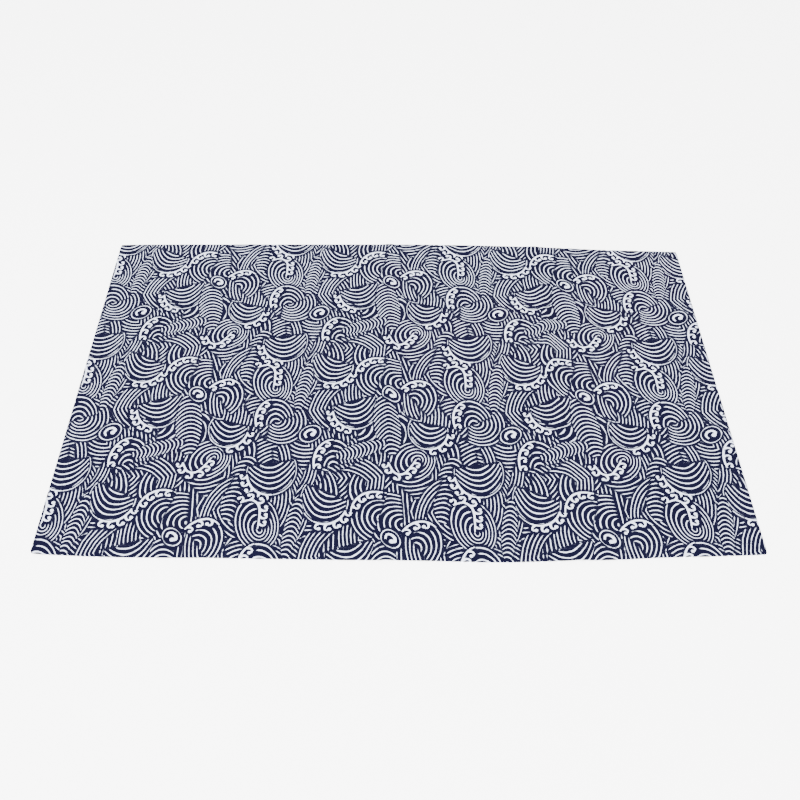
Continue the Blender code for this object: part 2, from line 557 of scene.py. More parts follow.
def foam(points, side):
    """The patches of a crest of foam: a dark bed, a white stem and its hooked claws.

    side is 1 where the claws are on the left of the stem, and -1 where they are on its right.
    """
    line = smooth_line(points * STRETCH, 4)
    run = np.concatenate([[0], np.cumsum(np.hypot(*np.diff(line, axis=0).T))])
    at = np.linspace(0, run[-1], max(8, int(run[-1] / 1.5)))
    line = np.stack([np.interp(at, run, line[:, 0]), np.interp(at, run, line[:, 1])], -1)
    ahead, left = headings(line)
    share = at / run[-1]
    half = STEM_HALF * (0.55 + 0.55 * np.sin(math.pi * (share * 0.9 + 0.1)))
    beds, whites = [ribbon(line, half + STEM_BED)], [ribbon(line, half)]
    tips = line + left * (side * CLAW_TIP_OUT)
    claws = max(2, round(np.hypot(*np.diff(tips, axis=0).T).sum() / CLAW_STEP))
    for claw in range(claws):
        f = (claw + 0.25) / claws
        big = 1.0 + 0.18 * math.sin(math.pi * f)
        root, forward, out = (
            np.array([np.interp(f, share, row[:, k]) for k in (0, 1)])
            for row in (line, ahead, left * side)
        )
        t = np.linspace(0, 1, len(CLAW_HALF))[:, None]
        hook = sum(
            choose * t**power * (1 - t) ** (3 - power) * np.array(guide)
            for power, (choose, guide) in enumerate(zip((1, 3, 3, 1), CLAW_GUIDES))
        )
        path = root + (hook[:, :1] * forward + hook[:, 1:] * out) * big
        beds.append(knob(root + out * (CLAW_BED_OUT * big), CLAW_BED * big, 12))
        whites.append(ribbon(path, np.array(CLAW_HALF) * big))
        whites.append(knob(path[-1], CLAW_KNOB * big, 9))
    return plain(beds, BARE) + plain(whites, WHITE)


def motif_patches(motif):
    """The shells of a motif, and the patches of its foam."""
    kind, x, y, size, turn, first, last = motif
    side = 1 if last > first else -1

    def oval(wide, start=-180, end=180):
        return Shell(x, y, size, size * wide, turn, start, end, 0.0)

    if kind == "bowl":
        rim = oval(0.92, -200, 20)
        inner = rim._replace(long=rim.long - 2.6, wide=rim.wide - 2.6)
        shells = [ringed(rim, 0, PITCH), hung(inner, -90, 0.62, PITCH * 1.35)]
        return shells, foam(rim_line(rim, first, last), -side)
    if kind == "crest":
        rim = oval(0.85, -95, 95)
        return [ringed(rim, -0.3, PITCH)], foam(rim_line(rim, first, last), side)
    if kind == "roll":
        line = turned(np.array(ROLL_FOAM) * [size, size * side], turn) + [x, y]
        return [ringed(oval(0.8), 0.3, PITCH)], foam(line, -side)
    if kind == "eye":
        curl = smooth_line(turned(np.array(EYE_CURL) * size, turn) + [x, y], 4) * STRETCH
        hook = ribbon(curl, np.linspace(0.6, 1.05, len(curl))), knob(curl[-1], EYE_KNOB, 12)
        bed = knob(np.array([x, y]) * STRETCH, size * EYE_BED, 20)
        return [ringed(oval(0.72), 0.0, PITCH * 0.93)], plain([bed], BARE) + plain(hook, WHITE)
    if kind == "flow":
        middle = behind(x, y, turn, size * 0.8)
        fan = Shell(*middle, size, size, turn, -last, last, -2.0)
        return [ringed(fan, 0.0, PITCH)], []
    if kind == "fold":
        middle = behind(x, y, turn, size * 0.75)
        return [folded(*middle, turn, size - 14, size, 16, 13)], []
    wide, bend, pitch = (0.42, -1.3, 1.15) if kind == "arches" else (0.26, -2.6, 1.1)
    count = size / PITCH / pitch
    lines = Lines(x, y, turn, size, size, 0.0, bend, count, count)
    return [Patch(shell_outline(oval(wide)), lines, 0, 1.0)], []


def print_patches(layout, low, high):
    """All the patches of the print over an area of the cloth, lowest first."""
    shells, foams = seeded_patches(layout.seed), []
    for motif in MOTIFS:
        more, crest = motif_patches(motif)
        shells += more
        foams += crest
    single = []
    for patch in shells:
        x, y = np.array([patch.lines.x, patch.lines.y]) * STRETCH
        lines = patch.lines._replace(x=x, y=y)
        single.append(patch._replace(outline=patch.outline * STRETCH, lines=lines))
    patches = []
    start = np.array([layout.shift_x, layout.shift_y]) / MM
    for patch in single + foams:
        near, far = patch.outline.min(0) - start, patch.outline.max(0) - start
        first = [math.floor((low[k] - far[k]) / REPEAT[k]) + 1 for k in (0, 1)]
        last = [math.ceil((high[k] - near[k]) / REPEAT[k]) - 1 for k in (0, 1)]
        for i in range(first[0], last[0] + 1):
            for j in range(first[1], last[1] + 1):
                step = np.array([i * REPEAT[0], j * REPEAT[1]]) - start
                lines = patch.lines
                if lines is not None:
                    lines = lines._replace(x=lines.x + step[0], y=lines.y + step[1])
                patches.append(patch._replace(outline=patch.outline + step, lines=lines))
    return patches


class Net:
    """Points and edges in the flat cloth, before they are joined into triangles."""

    def __init__(self):
        self.points = []
        self.edges = []
        self.edge_patch = []
        self.edge_cut = []

    def add_line(self, places, joins, patch=-1, cuts=None):
        """Adds points and the edges between them; cuts says which edges are in a cut."""
        start = len(self.points)
        self.points += list(places)
        self.edges += [(start + i, start + j) for i, j in joins]
        self.edge_patch += [patch] * len(joins)
        self.edge_cut += [False] * len(joins) if cuts is None else list(cuts)

    def add_ring(self, places):
        """Adds a closed line."""
        count = len(places)
        self.add_line(places, [(i, (i + 1) % count) for i in range(count)])

    def join(self, fills, cell=2.0):
        """Triangles between everything; fills are (least distance, points) rows."""
        kept = list(self.points)
        cells = {}
        for p in kept:
            cells.setdefault((math.floor(p[0] / cell), math.floor(p[1] / cell)), []).append(p)
        for least, points in fills:
            for p in points:
                x, y = math.floor(p[0] / cell), math.floor(p[1] / cell)
                near = (
                    q
                    for i in (-1, 0, 1)
                    for j in (-1, 0, 1)
                    for q in cells.get((x + i, y + j), ())
                )
                if all(abs(q[0] - p[0]) + abs(q[1] - p[1]) > least for q in near):
                    kept.append(p)
                    cells.setdefault((x, y), []).append(p)
        flat = [Vector((float(p[0]), float(p[1]))) for p in kept]
        return geometry.delaunay_2d_cdt(flat, self.edges, [], 0, MERGE)


def add_seen_outlines(net, patches, low, high):
    """Adds the parts of the outlines that no higher patch covers.

    Returns places a little outside them, and inside their cuts, where lines end in points.
    """
    boxes = np.array([[*p.outline.min(0), *p.outline.max(0)] for p in patches])
    beside = []
    for index, patch in enumerate(patches):
        line = patch.outline
        box = boxes[index]
        above = boxes[index + 1 :]
        meets = (above[:, 0] < box[2]) & (above[:, 2] > box[0]) & (above[:, 1] < box[3])
        meets &= above[:, 3] > box[1]
        hidden = np.zeros(len(line), bool)
        for other in np.flatnonzero(meets):
            hidden |= inside(patches[index + 1 + other].outline, line)
        away = ((line < low) | (line > high)).any(1)
        count = len(line)
        ahead = np.roll(np.arange(count), -1)
        keep = ~(hidden & hidden[ahead]) & ~away & ~away[ahead]
        if not keep.any():
            continue
        used = np.unique(np.concatenate([np.flatnonzero(keep), ahead[keep]]))
        number = {int(u): n for n, u in enumerate(used)}
        starts = np.flatnonzero(keep)
        joins = [(number[int(i)], number[int(ahead[i])]) for i in starts]
        cuts = (starts >= patch.cut) & (patch.cut > 0)
        net.add_line(line[used], joins, index, cuts)
        if patch.share > 1:
            continue
        x, y = line[:, 0], line[:, 1]
        area = (x * np.roll(y, -1) - np.roll(x, -1) * y).sum()
        along = np.roll(line, -1, axis=0) - np.roll(line, 1, axis=0)
        out = np.stack([along[:, 1], -along[:, 0]], -1) * np.sign(area)
        out /= np.maximum(np.hypot(*out.T), 1e-6)[:, None]
        shown = used[~hidden[used]]
        beside += list(line[shown] + out[shown] * TAPER)
        if patch.cut:
            cut = shown[shown >= patch.cut]
            beside += list(line[cut] - out[cut] * TAPER)
    return beside


def side_places(low, high, step):
    count = max(1, round((high - low) / step))
    return np.linspace(low, high, count + 1)


def loop_points(low, high, step):
    """Points round a rectangle, in order."""
    xs, ys = side_places(low[0], high[0], step), side_places(low[1], high[1], step)
    loop = [(x, low[1]) for x in xs[:-1]] + [(high[0], y) for y in ys[:-1]]
    loop += [(x, high[1]) for x in xs[:0:-1]] + [(low[0], y) for y in ys[:0:-1]]
    return [np.array(p) for p in loop]


def crease_rows(lie, low, high):
    """Closer points along the creases."""
    rows = []
    for crease in CREASES:
        middle = crease.share_across * lie.wide - lie.round
        half = crease.half_wide + 0.5
        for n, x in enumerate(np.linspace(middle - half, middle + half, 15)):
            for y in np.arange(low[1] + 2.0 + (n % 2) * 1.5, high[1] - 2.0, 3.0):
                rows.append(np.array([x, y]))
    return rows


def owners(patches, points):
    """The number of the highest patch over each point, and -1 where there is none."""
    best = np.full(len(points), -1)
    for index, patch in enumerate(patches):
        low, high = patch.outline.min(0), patch.outline.max(0)
        near = np.flatnonzero(((points > low) & (points < high)).all(1))
        if len(near):
            best[near[inside(patch.outline, points[near])]] = index
    return best


def line_places(lines, points):
    """Points measured from the middle of the lines, in shares of their two radii."""
    unstretched = (points - [lines.x, lines.y]) / STRETCH
    return turned(unstretched, -lines.turn) / [lines.long, lines.wide]


class PrintedFace:
    """The printed side of the cloth as triangles in the flat, and its print."""

    def __init__(self, lie, layout):
        low, high = lie.near - lie.reach, lie.far + lie.reach
        inner_low, inner_high = low + RIM_ROOM, high - RIM_ROOM
        self.patches = print_patches(layout, low, high)
        net = Net()
        rim = loop_points(low, high, MESH_STEP)
        net.add_ring(rim)
        for mark in lie.marks:
            net.add_ring(loop_points(lie.near - mark, lie.far + mark, MESH_STEP))
        beside = add_seen_outlines(net, self.patches, inner_low, inner_high)
        beside = [p for p in beside if (p > inner_low).all() and (p < inner_high).all()]
        hem_rows = []
        for inward in HEM_ROWS:
            hem_rows += loop_points(lie.near + inward, lie.far - inward, MESH_STEP)
        chance = random.Random(layout.seed)
        open_cloth = [
            np.array([x + chance.uniform(-1, 1), y + chance.uniform(-1, 1)])
            for x in np.arange(low[0] + MESH_STEP, high[0] - 1, MESH_STEP)
            for y in np.arange(low[1] + MESH_STEP, high[1] - 1, MESH_STEP)
        ]
        creases = crease_rows(lie, low, high)
        fills = ((0.8, beside), (1.2, creases), (1.2, hem_rows), (2.4, open_cloth))
        points, edges, faces, origin, edge_origin, _ = net.join(fills)
        self.flat = np.array([tuple(p) for p in points])
        self.faces = np.array([tuple(f) for f in faces])
        number = {source: index for index, sources in enumerate(origin) for source in sources}
        self.rim = [number[i] for i in range(len(rim))]
        self.owner = owners(self.patches, self.flat[self.faces].mean(1))
        self.taper = self.line_ends(net, edges, edge_origin)

    def line_ends(self, net, edges, edge_origin):
        """0 at the corners of faces where a line ends in a point, and 1 at the others."""
        top = np.full(len(self.flat), -1)
        cut = np.zeros(len(self.flat), bool)
        for (a, b), sources in zip(edges, edge_origin):
            for source in sources:
                patch = net.edge_patch[source]
                for point in (a, b):
                    if patch > top[point]:
                        top[point], cut[point] = patch, net.edge_cut[source]
                    elif patch == top[point] >= 0:
                        cut[point] = cut[point] or net.edge_cut[source]
        corner_top, corner_cut = top[self.faces], cut[self.faces]
        mine = self.owner[:, None]
        ends = (corner_top > mine) | ((corner_top == mine) & corner_cut & (mine >= 0))
        return np.where(ends, 0.0, 1.0)

    def measurements(self, line_share):
        """For each face: its place in its shell, the shell's shape and start, and the taper."""
        count = len(self.faces)
        corners = self.flat[self.faces]
        place = (corners + [OPEN_RADIUS, 0]) / OPEN_RADIUS
        shape = np.tile([0, OPEN_RADIUS / PITCH, 0], (count, 1))
        start = np.tile([OPEN_BEGIN / PITCH, line_share, 0], (count, 1))
        taper = self.taper.copy()
        for index in np.unique(self.owner[self.owner >= 0]):
            lines, share = self.patches[index].lines, self.patches[index].share
            mine = np.flatnonzero(self.owner == index)
            if lines is None:
                place[mine] = 0.0
                shape[mine] = (0, 1, 0)
                start[mine] = (0, share, 0)
                taper[mine] = 1.0
            else:
                place[mine] = line_places(lines, corners[mine])
                shape[mine] = (lines.gather, lines.count, lines.kink)
                start[mine] = (lines.begin, line_share * share, 0)
        return place, shape, start, taper


def reverse_face(lie, face):
    """The unprinted side, as triangles in plan whose outer points are the printed rim's."""
    rim = face.flat[face.rim]
    plan = np.empty_like(rim)
    for k, (length, full) in enumerate(((lie.across, lie.wide), (lie.along, lie.deep))):
        near = np.minimum(rim[:, k], length - rim[:, k])
        shrink = (SQUEEZE + lie.round - lie.hem) / (SQUEEZE + lie.reach)
        moved = np.where(near < SQUEEZE, lie.hem + (near + lie.reach) * shrink, near + lie.round)
        plan[:, k] = np.where(rim[:, k] > length / 2, full - moved, moved)
    net = Net()
    net.add_ring(plan)
    low, high = np.array([lie.hem, lie.hem]), np.array([lie.wide, lie.deep]) - lie.hem
    rows = []
    for crease in CREASES:
        middle = crease.share_across * lie.wide
        for x in np.linspace(middle - crease.half_wide, middle + crease.half_wide, 9):
            ys = np.arange(low[1] + 4, high[1] - 4, REVERSE_CREASE_STEP)
            rows += [np.array([x, y]) for y in ys]
    loops = []
    for inward in REVERSE_ROWS:
        loops += loop_points(low + inward, high - inward, REVERSE_ROW_STEP)
    xs, ys = (np.arange(low[k] + 8, high[k] - 6, REVERSE_STEP) for k in (0, 1))
    wide_rows = [np.array([x, y]) for x in xs for y in ys]
    points, _, faces, origin, _, _ = net.join(((1.0, rows), (1.0, loops), (3.0, wide_rows)))
    flat = np.array([tuple(p) for p in points])
    number = np.full(len(flat), -1)
    for index, sources in enumerate(origin):
        for source in sources:
            if source < len(plan):
                number[index] = face.rim[source]
    return flat, np.array([tuple(f) for f in faces]), number


def make_cloth(cloth, layout):
    """The whole napkin as one closed mesh, with what its print needs on its faces."""
    lie = Lie(cloth)
    face = PrintedFace(lie, layout)
    printed = lie.place(face.flat[:, 0], face.flat[:, 1])
    printed_normals = normals_of(lie.place, face.flat[:, 0], face.flat[:, 1])
    back, back_faces, number = reverse_face(lie, face)
    fresh = np.flatnonzero(number < 0)
    number[fresh] = len(face.flat) + np.arange(len(fresh))
    reverse = lie.reverse(back[:, 0], back[:, 1])
    reverse_normals = -normals_of(lie.reverse, back[:, 0], back[:, 1])
    back_faces = back_faces[:, ::-1]

    mesh = bpy.data.meshes.new(CLOTH)
    places = np.concatenate([printed, reverse[fresh]]) * MM
    faces = np.concatenate([face.faces, number[back_faces]])
    mesh.from_pydata(places.tolist(), [], faces.tolist())
    mesh.update()

    def fill(data, key, values):
        """Writes rows for the printed faces, and zeros for the reverse."""
        blank = np.zeros((len(back_faces), *values.shape[1:]))
        data.foreach_set(key, np.concatenate([values, blank]).reshape(-1).astype(np.float32))

    place, shape, start, taper = face.measurements(layout.line_share)
    fill(mesh.uv_layers.new(name="print place").data, "uv", place)
    fill(mesh.attributes.new("print shape", "FLOAT_VECTOR", "FACE").data, "vector", shape)
    fill(mesh.attributes.new("print start", "FLOAT_VECTOR", "FACE").data, "vector", start)
    fill(mesh.attributes.new("print taper", "FLOAT", "CORNER").data, "value", taper)
    side = np.zeros(len(faces), np.int32)
    side[len(face.faces) :] = 1
    mesh.polygons.foreach_set("material_index", side)
    mesh.polygons.foreach_set("use_smooth", np.ones(len(faces), bool))
    normals = np.concatenate([printed_normals[face.faces], reverse_normals[back_faces]])
    mesh.normals_split_custom_set(normals.reshape(-1, 3).tolist())
    return mesh, lie


class Nodes:
    """Short ways to lay out a shader or geometry tree, one node after another."""

    def __init__(self, tree):
        self.tree = tree
        self.count = 0

    def feed(self, node, inputs):
        """Joins sockets to a node's inputs or sets values on them, by name or number."""
        for key, value in inputs.items():
            if isinstance(value, bpy.types.NodeSocket):
                self.tree.links.new(value, node.inputs[key])
            else:
                node.inputs[key].default_value = value

    def add(self, kind, label="", inputs=None, **settings):
        """Adds a node, and returns its outputs."""
        node = self.tree.nodes.new(kind)
        for name, value in settings.items():
            setattr(node, name, value)
        self.feed(node, inputs or {})
        node.label = label
        node.location = (220 * (self.count % 8), -240 * (self.count // 8))
        self.count += 1
        return node.outputs

    def calc(self, operation, *values):
        return self.add("ShaderNodeMath", "", dict(enumerate(values)), operation=operation)[0]

    plus = partialmethod(calc, "ADD")
    minus = partialmethod(calc, "SUBTRACT")
    times = partialmethod(calc, "MULTIPLY")
    over = partialmethod(calc, "DIVIDE")

    def parts(self, vector):
        return self.add("ShaderNodeSeparateXYZ", "", {0: vector})

    def noise(self, place, scale, detail, label):
        inputs = {"Vector": place, "Scale": scale, "Detail": detail}
        return self.add("ShaderNodeTexNoise", label, inputs)[0]

    def mix(self, share, first, second):
        """A colour between two others, which are sockets or three numbers."""
        first, second = (
            colour if isinstance(colour, bpy.types.NodeSocket) else (*colour, 1)
            for colour in (first, second)
        )
        return self.add("ShaderNodeMix", "", {0: share, 6: first, 7: second}, data_type="RGBA")[2]


def new_group(name, kind, inputs, outputs):
    """A node group with named inputs and outputs, and what its inputs give."""
    tree = bpy.data.node_groups.new(name, kind)
    for way, sockets in (("INPUT", inputs), ("OUTPUT", outputs)):
        for label, holds in sockets.items():
            tree.interface.new_socket(name=label, in_out=way, socket_type="NodeSocket" + holds)
    n = Nodes(tree)
    return n, n.add("NodeGroupInput")


def wave_lines_group():
    """White where a line of the print is: reads a place in a shell and the shell's numbers."""
    places = dict.fromkeys(("Place", "Shape", "Start"), "Vector")
    numbers = dict.fromkeys(("Taper", "Drift", "Swelling", "Softness"), "Float")
    n, given = new_group("wave lines", "ShaderNodeTree", places | numbers, {"Ink": "Float"})
    x, y, _ = n.parts(given["Place"])
    gather, lines, kink = n.parts(given["Shape"])
    begin, share, _ = n.parts(given["Start"])
    a = n.minus(x, gather)
    fold = n.plus(n.calc("ABSOLUTE", y), kink)
    rest = n.minus(1.0, n.times(gather, gather))
    inner = n.plus(n.times(a, a), n.times(rest, n.times(fold, fold)))
    radius = n.over(n.plus(n.times(a, gather), n.calc("SQRT", inner)), rest)
    hanging = n.minus(x, n.times(kink, n.times(y, y)))
    is_hung = n.calc("LESS_THAN", kink, 0.0)
    radius = n.calc("MULTIPLY_ADD", n.minus(hanging, radius), is_hung, radius)
    number = n.plus(n.minus(begin, n.times(lines, radius)), given["Drift"])
    across = n.calc("ABSOLUTE", n.minus(n.calc("FRACT", number), 0.5))
    thinning = n.calc("MINIMUM", n.calc("MULTIPLY_ADD", given["Taper"], 1.45, -0.2), 1.0)
    half = n.times(n.times(n.plus(share, given["Swelling"]), 0.5), thinning)
    edge = n.over(n.minus(half, across), given["Softness"])
    ink = n.add("ShaderNodeClamp", "", {"Value": n.plus(edge, 0.5)})[0]
    n.add("NodeGroupOutput", "", {"Ink": ink})
    return n.tree


def weave_group():
    """Plain weave: how high the threads stand, and the painted shade that darkens the gaps between
    them.
    """
    if "plain weave" in bpy.data.node_groups:
        return bpy.data.node_groups["plain weave"]
    inputs = {"Place": "Vector", "Thread": "Float"}
    outputs = {"Height": "Float", "Shade": "Float"}
    n, given = new_group("plain weave", "ShaderNodeTree", inputs, outputs)
    place = n.parts(given["Place"])
    wander = n.noise(given["Place"], 260.0, 1.0, "threads wander")
    shift = n.times(n.minus(wander, 0.5), 2.2)
    waves = []
    for axis in (0, 1):
        turn = n.times(n.over(place[axis], given["Thread"]), 2 * math.pi)
        waves.append(n.calc("SINE", n.plus(turn, shift)))
    height = n.calc("MULTIPLY_ADD", n.times(*waves), 0.5, 0.5)
    # Painted shade: the colour is scaled from 1.14 on the thread tops down to 0.84 in the gaps
    # between them
    shade = n.calc("MULTIPLY_ADD", height, 0.30, 0.84)
    n.add("NodeGroupOutput", "", {"Height": height, "Shade": shade})
    return n.tree


def start_material(name):
    """A material, its nodes, its shader, and the object's coordinates."""
    material = bpy.data.materials.new(name)
    material.use_nodes = True
    n = Nodes(material.node_tree)
    shader = n.tree.nodes["Principled BSDF"]
    return material, n, shader, n.add("ShaderNodeTexCoord")["Object"]


def relief(n, height, strength, distance, label):
    """A normal raised by a height, for the shader."""
    inputs = {"Height": height, "Strength": strength, "Distance": distance}
    return n.add("ShaderNodeBump", label, inputs)[0]


def cotton_finish(n, shader, where, colour, cloth):
    """The weave's painted shade in the gaps between the threads, its bump, and the dull surface
    that both faces of the cloth share.
    """
    inputs = {"Place": where, "Thread": cloth.thread}
    weave = n.add("ShaderNodeGroup", "weave", inputs, node_tree=weave_group())
    # Painted shade: the cloth's colour is darkened in the gaps between the threads
    shaded = {0: colour, "Scale": weave["Shade"]}
    surface = {
        "Base Color": n.add("ShaderNodeVectorMath", "shaded", shaded, operation="SCALE")[0],
        "Normal": relief(n, weave["Height"], 0.7, 0.00018, "thread relief"),
        "Roughness": 0.88,
        "Specular IOR Level": 0.03,
    }
    n.feed(shader, surface)


def printed_material(cloth, layout):
    material, n, shader, where = start_material("printed cotton")
    shape, start, taper = (
        n.add("ShaderNodeAttribute", name, attribute_name=name)
        for name in ("print shape", "print start", "print taper")
    )
    drift = n.minus(n.noise(where, 170.0, 1.0, "lines wander"), 0.5)
    swelling = n.minus(n.noise(where, 300.0, 1.0, "lines swell"), 0.5)
    inputs = {
        "Place": n.add("ShaderNodeUVMap", "print place", uv_map="print place")[0],
        "Shape": shape["Vector"],
        "Start": start["Vector"],
        "Taper": taper["Fac"],
        "Drift": n.times(drift, layout.wander),
        "Swelling": n.times(swelling, layout.swelling),
        "Softness": 0.07,
    }
    ink = n.add("ShaderNodeGroup", "wave lines", inputs, node_tree=wave_lines_group())["Ink"]
    fade = n.noise(where, 22.0, 3.0, "uneven dye")
    ground = n.mix(fade, layout.ground_dark, layout.ground_light)
    line = n.mix(fade, layout.line_dark, layout.line_light)
    cotton_finish(n, shader, where, n.mix(ink, ground, line), cloth)
    return material


def reverse_material(cloth):
    """The unprinted side: undyed cotton with the ground's blue showing through."""
    material, n, shader, where = start_material("reverse of the cotton")
    fade = n.noise(where, 60.0, 3.0, "print showing through")
    colour = n.mix(fade, (0.20, 0.22, 0.34), (0.42, 0.44, 0.55))
    cotton_finish(n, shader, where, colour, cloth)
    return material


def thread_material():
    material, n, shader, where = start_material("navy sewing thread")
    twist = n.noise(where, 4200.0, 1.0, "twist of the thread")
    fade = n.noise(where, 90.0, 2.0, "uneven dye")
    surface = {
        "Base Color": n.mix(fade, (0.0060, 0.0062, 0.0230), (0.0110, 0.0115, 0.0380)),
        "Normal": relief(n, twist, 0.4, 0.00005, "twist relief"),
        "Roughness": 0.62,
        "Specular IOR Level": 0.2,
    }
    n.feed(shader, surface)
    return material


def floor_material():
    material, n, shader, where = start_material("pale floor")
    tone = n.noise(where, 3.0, 2.0, "slight cloudiness")
    surface = {
        "Base Color": n.mix(tone, (0.90, 0.90, 0.90), (0.94, 0.94, 0.94)),
        "Roughness": 0.95,
        "Specular IOR Level": 0.1,
        "Emission Color": (1.0, 1.0, 1.0, 1.0),
        "Emission Strength": 3.5,
    }
    n.feed(shader, surface)
    return material


# What every length and every colour in the settings below has
LENGTH = {"precision": 5, "subtype": "DISTANCE", "unit": "LENGTH"}
COLOUR = {"subtype": "COLOR", "min": 0, "max": 1}


class ClothSettings(bpy.types.PropertyGroup):
    layer: FloatProperty(
        name="Cloth thickness", description="Thickness of one layer of the cotton",
        default=0.00045, min=0.0002, max=0.001, **LENGTH,
    )
    hem_wide: FloatProperty(
        name="Hem width", description="How far the cloth is turned under along its edges",
        default=0.010, min=0.004, max=0.03, **LENGTH,
    )
    hem_slope: FloatProperty(
        name="Hem slope", description="Distance over which the cloth comes down from its hem",
        default=0.006, min=0.001, max=0.02, **LENGTH,
    )
    hem_top: FloatProperty(
        name="Hem height", description="Height of the printed face over the hem",
        default=0.00168, min=0.001, max=0.004, **LENGTH,
    )
    panel_top: FloatProperty(
        name="Panel height",
        description="Greatest height of the printed face between the hems, away from the creases",
        default=0.00116, min=0.0005, max=0.003, **LENGTH,
    )
    rest_gap: FloatProperty(
        name="Gap below",
        description="Height of the hem's underside over the surface that the napkin lies on",
        default=0.00003, min=0.0, max=0.001, **LENGTH,
    )
    fold_round: FloatProperty(
        name="Fold rounding", description="Radius of the hem's inner fold",
        default=0.0003, min=0.0001, max=0.001, **LENGTH,
    )
    corner_round: FloatProperty(
        name="Corner radius", description="Radius of the four corners in plan",
        default=0.002, min=0.0005, max=0.02, **LENGTH,
    )
    turn_in: FloatProperty(
        name="Raw edge turned in",
        description="Width of the raw edge that is folded away inside the hem",
        default=0.005, min=0.0, max=0.02, **LENGTH,
    )
    thread: FloatProperty(
        name="Thread spacing", description="Distance after which the weave repeats",
        default=0.0007, min=0.0002, max=0.003, **LENGTH,
    )


class PrintSettings(bpy.types.PropertyGroup):
    seed: IntProperty(
        name="Shell seed", description="Seed of the shells that lie under the motifs",
        default=21, min=0,
    )
    line_share: FloatProperty(
        name="Line share", description="Share of a line's spacing that is left white",
        default=0.2, min=0.1, max=0.8, subtype="FACTOR",
    )
    wander: FloatProperty(
        name="Line wander", description="How far the lines stray, as a share of their spacing",
        default=0.22, min=0.0, max=2.0,
    )
    swelling: FloatProperty(
        name="Line swelling",
        description="How much the lines thicken and thin, as a share of their spacing",
        default=0.22, min=0.0, max=1.0,
    )
    shift_x: FloatProperty(
        name="Shift across",
        description="Where the repeat starts, measured from the left turn line",
        default=0.020, **LENGTH,
    )
    shift_y: FloatProperty(
        name="Shift along",
        description="Where the repeat starts, measured from the front turn line",
        default=0.030, **LENGTH,
    )
    ground_dark: FloatVectorProperty(
        name="Ground, dark", description="Darker tone of the navy ground",
        default=(0.0024, 0.0022, 0.0110), **COLOUR,
    )
    ground_light: FloatVectorProperty(
        name="Ground, light", description="Lighter tone of the navy ground",
        default=(0.0040, 0.0037, 0.0165), **COLOUR,
    )
    line_dark: FloatVectorProperty(
        name="Lines, dark", description="Darker tone of the off-white lines",
        default=(0.68, 0.73, 0.95), **COLOUR,
    )
    line_light: FloatVectorProperty(
        name="Lines, light", description="Lighter tone of the off-white lines",
        default=(0.80, 0.85, 1.0), **COLOUR,
    )


class StitchSettings(bpy.types.PropertyGroup):
    inset: FloatProperty(
        name="Seam inset", description="Distance of the hem's seam from the edge",
        default=0.0082, min=0.002, max=0.03, **LENGTH,
    )
    length: FloatProperty(
        name="Stitch length", description="Distance from one stitch to the next",
        default=0.0026, min=0.001, max=0.01, **LENGTH,
    )
    radius: FloatProperty(
        name="Thread radius", description="Half the thickness of the sewing thread",
        default=0.00016, min=0.00005, max=0.001, **LENGTH,
    )
    seed: IntProperty(
        name="Stitch seed", description="Seed of the small differences between stitches",
        default=1, min=0,
    )


class StageSettings(bpy.types.PropertyGroup):
    lens: FloatProperty(
        name="Lens", description="Focal length of the camera, in millimetres",
        default=43.4, min=10, max=200,
    )
    camera_place: FloatVectorProperty(
        name="Camera place", description="Where the camera stands",
        default=(0.00195, -0.479, 0.496), subtype="TRANSLATION", unit="LENGTH",
    )
    tilt: FloatProperty(
        name="Camera tilt", description="Angle of the camera from straight down",
        default=math.radians(42.83), subtype="ANGLE", unit="ROTATION",
    )
    key_power: FloatProperty(
        name="Key light", description="Power of the large soft light above the cloth",
        default=60.0, min=0, unit="POWER",
    )
    sky: FloatProperty(
        name="Surrounding light", description="Strength of the even light from all round",
        default=2.5, min=0,
    )


def link(name, data):
    """Adds an object to the scene."""
    obj = bpy.data.objects.new(name, data)
    bpy.context.scene.collection.objects.link(obj)
    return obj


def seam_mesh(lie, stitches):
    """The line of the hem's seam on the printed face."""
    inset = stitches.inset / MM - lie.round
    line = np.array(loop_points(lie.near + inset, lie.far - inset, SEAM_STEP))
    places = lie.place(line[:, 0], line[:, 1]) * MM
    places[:, 2] += stitches.radius * THREAD_RISE
    count = len(places)
    mesh = bpy.data.meshes.new("hem seam")
    mesh.from_pydata(places.tolist(), [(i, (i + 1) % count) for i in range(count)], [])
    return mesh


def stitch_group(material):
    """Lays a short thread with its ends in the cloth at each step along a path."""
    inputs = {
        "Path": "Geometry",
        "Stitch Length": "Float",
        "Thread Radius": "Float",
        "Seed": "Int",
    }
    n, given = new_group("hem stitches", "GeometryNodeTree", inputs, {"Stitches": "Geometry"})
    step, radius = given["Stitch Length"], given["Thread Radius"]
    seam = n.add("GeometryNodeMeshToCurve", "seam", {"Mesh": given["Path"]})[0]
    inputs = {"Curve": seam, "Length": step}
    points = n.add("GeometryNodeResampleCurve", "stitch places", inputs, mode="LENGTH")[0]
    ahead = {"Vector": n.add("GeometryNodeInputTangent")[0]}
    turn = n.add("FunctionNodeAlignRotationToVector", "along the seam", ahead, axis="X")[0]
    inputs = {2: 0.88, 3: 1.08, "Seed": given["Seed"]}
    uneven = n.add("FunctionNodeRandomValue", "uneven pull", inputs, data_type="FLOAT")[1]
    inputs = {0: n.times(n.times(step, 0.44), uneven), 1: radius, 2: radius}
    size = n.add("ShaderNodeCombineXYZ", "long and thin", inputs)[0]
    thread = n.add("GeometryNodeMeshUVSphere", "thread", {"Segments": 6, "Rings": 5})[0]
    inputs = {"Points": points, "Instance": thread, "Rotation": turn, "Scale": size}
    laid = n.add("GeometryNodeInstanceOnPoints", "stitches", inputs)[0]
    real = n.add("GeometryNodeRealizeInstances", "", {0: laid})[0]
    inputs = {"Geometry": n.add("GeometryNodeSetShadeSmooth", "", {0: real})[0]}
    finish = n.add("GeometryNodeSetMaterial", "", inputs | {"Material": material})[0]
    n.add("NodeGroupOutput", "", {"Stitches": finish})
    return n.tree


